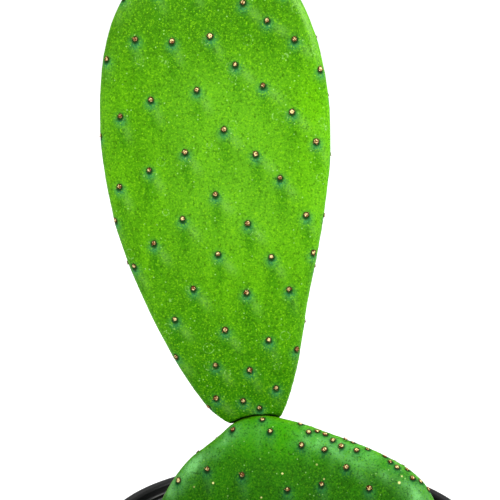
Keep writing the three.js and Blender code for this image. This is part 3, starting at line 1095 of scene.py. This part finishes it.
def litter(top, tree, masters, name, count, seed, lift):
    """Scatters loose pieces on the mix, clear of the pad and the pot's wall."""
    rng = random.Random(seed)
    places = []
    pad = tree_of(bpy.data.objects["lower_pad_skin"])
    while len(places) < count:
        radius, angle = top * math.sqrt(rng.random()), rng.uniform(0, 2 * math.pi)
        start = Vector((radius * math.cos(angle), radius * math.sin(angle), SOIL_BOX[1][2] + 0.02))
        place, normal, _, _ = tree.ray_cast(start, Vector((0, 0, -1)), 0.04)
        if place is None or place.z < (SOIL_LINE - 3) * MM:
            continue
        if pad.find_nearest(place)[3] < LITTER_CLEARANCE:
            continue
        tilted = (normal + Vector((rng.uniform(-0.5, 0.5), rng.uniform(-0.5, 0.5), 0))).normalized()
        down = Vector((math.cos(angle * 7.3), math.sin(angle * 7.3), 0))
        places.append((place + Vector((0, 0, lift)), tilted, down, rng.uniform(0.6, 1.25)))
    return scatter(masters, name, places, seed, 0.0)


class MESH_OT_cactus_soil(bpy.types.Operator):
    """Models the potting mix with its crumbs, bark chips and perlite"""

    bl_idname = "mesh.cactus_soil"
    bl_label = "Potting mix"

    def execute(self, context):
        settings = context.scene.cactus_soil
        mix = copy_of_node("potting_soil", "potting_mix")
        modifier(mix, "REMESH", mode="VOXEL", voxel_size=0.0017, use_smooth_shade=True)
        apply_all(mix)
        spots, normals = vertices_of(mix.data)
        rng = np.random.default_rng(settings.seed)
        height = np.zeros(len(spots))
        for octave in range(3):
            for _ in range(16):
                way = rng.normal(size=3)
                way *= (170 * 2.1 ** octave) * rng.uniform(0.7, 1.3) / np.linalg.norm(way)
                height += np.sin(spots @ way + rng.uniform(0, 6.28)) / (4.0 * 1.5 ** octave)
        reach = np.hypot(spots[:, 0], spots[:, 1])
        top = SOIL_BOX[1][0]
        on_top = np.clip((normals[:, 2] - 0.6) / 0.3, 0, 1) * (spots[:, 2] > (SOIL_LINE - 2) * MM)
        inland = np.clip((top - reach) / 0.004, 0, 1)
        spots[:, 2] += settings.crumb * 0.4 * (height - 0.6) * on_top * (0.35 + 0.65 * inland)
        set_places(mix.data, spots)
        mix.data.materials.append(mix_material())
        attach(mix, "root")
        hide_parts("potting_soil")

        tree = tree_of(mix)
        draw = random.Random(settings.seed)
        bark, grit = bark_material(), grit_material()
        flakes = []
        for i in range(5):
            size = (draw.uniform(0.0025, 0.0055), draw.uniform(0.0018, 0.003), draw.uniform(0.0007, 0.0014))
            flakes.append(chip(f"chip_{i}", size, draw))
        grains = [grain_of_perlite(f"grain_{i}", draw.uniform(0.0009, 0.0016), draw) for i in range(3)]
        for piece in flakes:
            piece.data.materials.append(bark)
        for piece in grains:
            piece.data.materials.append(grit)
        chips = litter(top - 0.002, tree, flakes, "bark_chips", settings.chips, settings.seed, 0.0004)
        beads = litter(top - 0.002, tree, grains, "perlite_grains", settings.grit, settings.seed + 1, 0.0003)
        discard(flakes + grains)
        for piece in (chips, beads):
            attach(piece, "root")
        return {"FINISHED"}


class MESH_OT_cactus_roots(bpy.types.Operator):
    """Gives the hidden roots their bark"""

    bl_idname = "mesh.cactus_roots"
    bl_label = "Roots"

    def execute(self, context):
        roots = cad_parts["roots"]
        roots.data.materials.clear()
        roots.data.materials.append(root_material())
        return {"FINISHED"}


# ---------- Stage ----------


def soft_light(name, place, target, size, watts):
    """A white rectangular light that faces the target."""
    data = bpy.data.lights.new(name, "AREA")
    data.shape = "RECTANGLE"
    data.size, data.size_y = size
    data.energy = watts
    light = bpy.data.objects.new(name, data)
    light.location = place
    light.rotation_euler = (Vector(target) - Vector(place)).to_track_quat("-Z", "Y").to_euler()
    bpy.context.collection.objects.link(light)


class SCENE_OT_cactus_stage(bpy.types.Operator):
    """Sets the camera, the glowing white floor and the soft lights"""

    bl_idname = "scene.cactus_stage"
    bl_label = "Stage"

    def execute(self, context):
        scene = context.scene
        stage = scene.cactus_stage
        to_object_mode()
        bpy.ops.object.select_all(action="DESELECT")
        bpy.ops.mesh.primitive_circle_add(vertices=96, radius=9.0, fill_type="NGON", location=(0, 0, 0))
        floor = named("studio_floor")
        g = Graph("studio_white")
        away = (g.axis("X") ** 2.0 + g.axis("Y") ** 2.0) ** 0.5
        # Painted light: the floor glows, dimmer near the pot so its shadows show and white further away.
        glow = g.mix(away.between(0.2, 1.1), (0.35, 0.35, 0.35), (1.0, 1.0, 1.0))
        g.feed(g.shader.inputs["Emission Color"], glow)
        floor.data.materials.append(g.finish((0.9, 0.9, 0.9, 1.0), 0.8, None, Emission_Strength=0.7))

        data = bpy.data.cameras.new("camera")
        data.lens = stage.lens
        data.sensor_width = 36.0
        data.clip_start, data.clip_end = 0.05, 60.0
        camera = bpy.data.objects.new("camera", data)
        camera.location = stage.camera_place
        camera.rotation_euler = (math.pi / 2 - stage.camera_pitch, 0.0, 0.0)
        context.collection.objects.link(camera)
        scene.camera = camera

        world = bpy.data.worlds.new("white_room")
        world.use_nodes = True
        world.node_tree.nodes["Background"].inputs["Color"].default_value = (1.0, 1.0, 1.0, 1.0)
        world.node_tree.nodes["Background"].inputs["Strength"].default_value = stage.sky
        scene.world = world
        scene.view_settings.view_transform = "Standard"
        scene.view_settings.look = "None"

        middle = (-0.02, 0.02, 0.24)
        soft_light("top_box", (0.25, 0.05, 1.35), middle, (1.1, 0.8), 13.0)
        soft_light("front_box", (-0.45, -1.25, 1.05), middle, (1.0, 0.8), 12.0)
        soft_light("right_box", (1.05, -0.15, 0.75), middle, (0.35, 1.0), 7.5)
        return {"FINISHED"}


# ---------- Panel and registration ----------


class VIEW3D_PT_cactus(bpy.types.Panel):
    """Lists the settings and the operators"""

    bl_label = "Potted Paddle Cactus"
    bl_idname = "VIEW3D_PT_cactus"
    bl_space_type = "VIEW_3D"
    bl_region_type = "UI"
    bl_category = "Cactus"

    def draw(self, context):
        layout = self.layout
        for operator in OPERATORS:
            layout.operator(operator.bl_idname)
        for key in GROUPS:
            box = layout.box()
            group = getattr(context.scene, key)
            for prop in group.bl_rna.properties:
                if prop.identifier not in {"rna_type", "name"}:
                    box.prop(group, prop.identifier)


GROUPS = {
    "cactus_pads": CactusPads,
    "cactus_areoles": CactusAreoles,
    "cactus_pot": CactusPot,
    "cactus_soil": CactusSoil,
    "cactus_stage": CactusStage,
}
OPERATORS = (
    SCENE_OT_cactus_stage,
    MESH_OT_cactus_lower_pad,
    MESH_OT_cactus_upper_pad,
    MESH_OT_cactus_pot,
    MESH_OT_cactus_soil,
    MESH_OT_cactus_roots,
)


def register():
    for cls in (*GROUPS.values(), *OPERATORS, VIEW3D_PT_cactus):
        bpy.utils.register_class(cls)
    for key, cls in GROUPS.items():
        setattr(bpy.types.Scene, key, PointerProperty(type=cls))


def unregister():
    for key in GROUPS:
        delattr(bpy.types.Scene, key)
    for cls in reversed((*GROUPS.values(), *OPERATORS, VIEW3D_PT_cactus)):
        bpy.utils.unregister_class(cls)


def main():
    register()
    bpy.ops.scene.cactus_stage()
    bpy.ops.mesh.cactus_lower_pad()
    bpy.ops.mesh.cactus_upper_pad()
    bpy.ops.mesh.cactus_pot()
    bpy.ops.mesh.cactus_soil()
    bpy.ops.mesh.cactus_roots()
    to_object_mode()
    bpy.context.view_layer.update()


if __name__ == "__main__":
    main()
